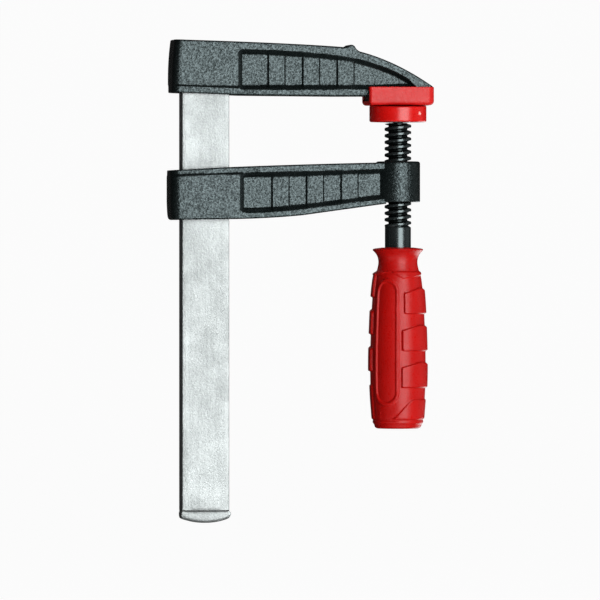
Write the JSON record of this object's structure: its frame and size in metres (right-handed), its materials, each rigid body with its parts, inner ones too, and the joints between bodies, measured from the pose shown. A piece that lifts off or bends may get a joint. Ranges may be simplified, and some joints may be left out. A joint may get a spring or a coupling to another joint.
{
  "type": "f clamp",
  "caption": "Bar clamp: a flat rail with a fixed arm, a sliding arm, and a hand screw that presses a swivelling pad against the fixed jaw.",
  "frame": {"origin": "middle of the fixed jaw's clamping face, on the axis of the screw", "axes": "+X out of the throat, away from the rail; +Z along the rail and the screw, from the handle towards the fixed jaw; +Y completes the right-handed frame"},
  "size_m": [0.1226, 0.0274, 0.2233],
  "materials": {
    "zinc_steel": "satin zinc plate with a fine grain",
    "cast_black": "black crinkle powder coat on cast iron",
    "red_jaw_plastic": "satin moulded plastic",
    "red_handle_plastic": "fine moulded texture, satin",
    "black_steel": "black oxide, oiled",
    "spring_steel": "bright drawn wire"
  },
  "bodies": {
    "frame": {"rail": "zinc_steel", "fixed_arm": "cast_black", "fixed_jaw_cap": "red_jaw_plastic"},
    "slider": {"sliding_arm": "cast_black"},
    "screw_carrier": {"snap_ring": "spring_steel"},
    "screw": {"spindle": "black_steel", "handle": "red_handle_plastic"},
    "pad": {"pressure_plate": "zinc_steel", "pad_cap": "red_jaw_plastic"}
  },
  "joints": [
    {"name": "arm_slide", "type": "slide", "parent": "frame", "child": "slider", "axis": [0, 0, 1], "range_m": [-0.1345, 0]},
    {"name": "screw_feed", "type": "slide", "parent": "slider", "child": "screw_carrier", "axis": [0, 0, 1], "range_m": [-0.0165, 0]},
    {"name": "spindle_turn", "type": "hinge", "parent": "screw_carrier", "child": "screw", "pos_m": [0, 0, -0.0057], "axis": [0, 0, 1], "range_deg": [-1980.5, 0]},
    {"name": "pad_tilt", "type": "hinge", "parent": "screw_carrier", "child": "pad", "pos_m": [0, 0, -0.0057], "axis": [1, 0, 0], "range_deg": [-3, 3]}
  ],
  "couplings": [
    {"joint": "spindle_turn", "follows": "screw_feed", "rad_per_m": 2094.4}
  ]
}
